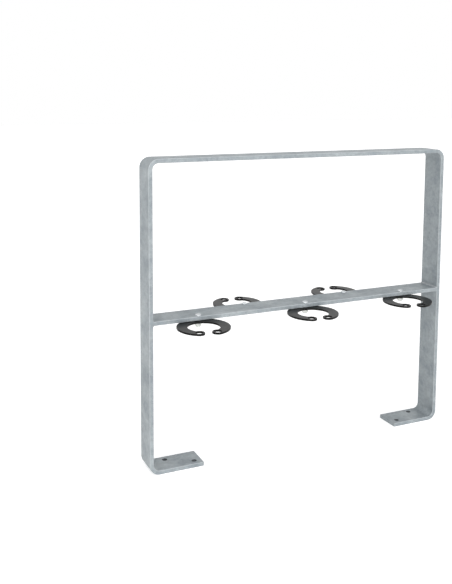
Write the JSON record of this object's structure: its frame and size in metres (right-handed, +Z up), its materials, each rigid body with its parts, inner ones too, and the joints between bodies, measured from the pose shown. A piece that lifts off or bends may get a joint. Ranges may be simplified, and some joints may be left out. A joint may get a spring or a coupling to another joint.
{
  "type": "two tier bike rack",
  "caption": "Bolt-down parking hoop of bent flat steel with a welded cross bar and open ring hooks hung under both sides of it, each turning on a bolt and closed by a padlock.",
  "frame": {"origin": "on the ground under the middle of the hoop", "axes": "+X along the hoop to the right upright, +Y to the far side, which has two hooks, +Z up"},
  "size_m": [1, 0.3288, 0.9],
  "materials": {
    "galvanised_frame": "hot-dip galvanised, spangled",
    "galvanised_cross_bar": "hot-dip galvanised, spangled",
    "galvanised_weld": "galvanised over weld",
    "black_coating": "satin black powder coat",
    "plated_bolt": "bright zinc plated",
    "black_washer": "black",
    "plated_nut": "zinc plated"
  },
  "bodies": {
    "rack": {"frame": "galvanised_frame", "cross_bar": "galvanised_cross_bar", "weld_left_top": "galvanised_weld", "weld_left_bottom": "galvanised_weld", "weld_right_top": "galvanised_weld", "weld_right_bottom": "galvanised_weld", "bolt_near_left": "plated_bolt", "washer_near_left": "black_washer", "nut_near_left": "plated_nut", "bolt_far_left": "plated_bolt", "washer_far_left": "black_washer", "nut_far_left": "plated_nut", "bolt_near_middle": "plated_bolt", "washer_near_middle": "black_washer", "nut_near_middle": "plated_nut", "bolt_far_right": "plated_bolt", "washer_far_right": "black_washer", "nut_far_right": "plated_nut", "bolt_near_right": "plated_bolt", "washer_near_right": "black_washer", "nut_near_right": "plated_nut"},
    "hook_near_left": {"hook_near_left": "black_coating"},
    "hook_far_left": {"hook_far_left": "black_coating"},
    "hook_near_middle": {"hook_near_middle": "black_coating"},
    "hook_far_right": {"hook_far_right": "black_coating"},
    "hook_near_right": {"hook_near_right": "black_coating"}
  },
  "joints": [
    {"name": "near_left_swing", "type": "hinge", "parent": "rack", "child": "hook_near_left", "pos_m": [-0.35, -0.03, 0.43145], "axis": [0, 0, 1], "range_deg": [-37, 53]},
    {"name": "far_left_swing", "type": "hinge", "parent": "rack", "child": "hook_far_left", "pos_m": [-0.175, 0.03, 0.43145], "axis": [0, 0, 1], "range_deg": [-39.5, 50.5]},
    {"name": "near_middle_swing", "type": "hinge", "parent": "rack", "child": "hook_near_middle", "pos_m": [0, -0.03, 0.43145], "axis": [0, 0, 1], "range_deg": [-37, 53]},
    {"name": "far_right_swing", "type": "hinge", "parent": "rack", "child": "hook_far_right", "pos_m": [0.175, 0.03, 0.43145], "axis": [0, 0, 1], "range_deg": [-40, 50]},
    {"name": "near_right_swing", "type": "hinge", "parent": "rack", "child": "hook_near_right", "pos_m": [0.35, -0.03, 0.43145], "axis": [0, 0, 1], "range_deg": [-29.5, 60.5]}
  ]
}
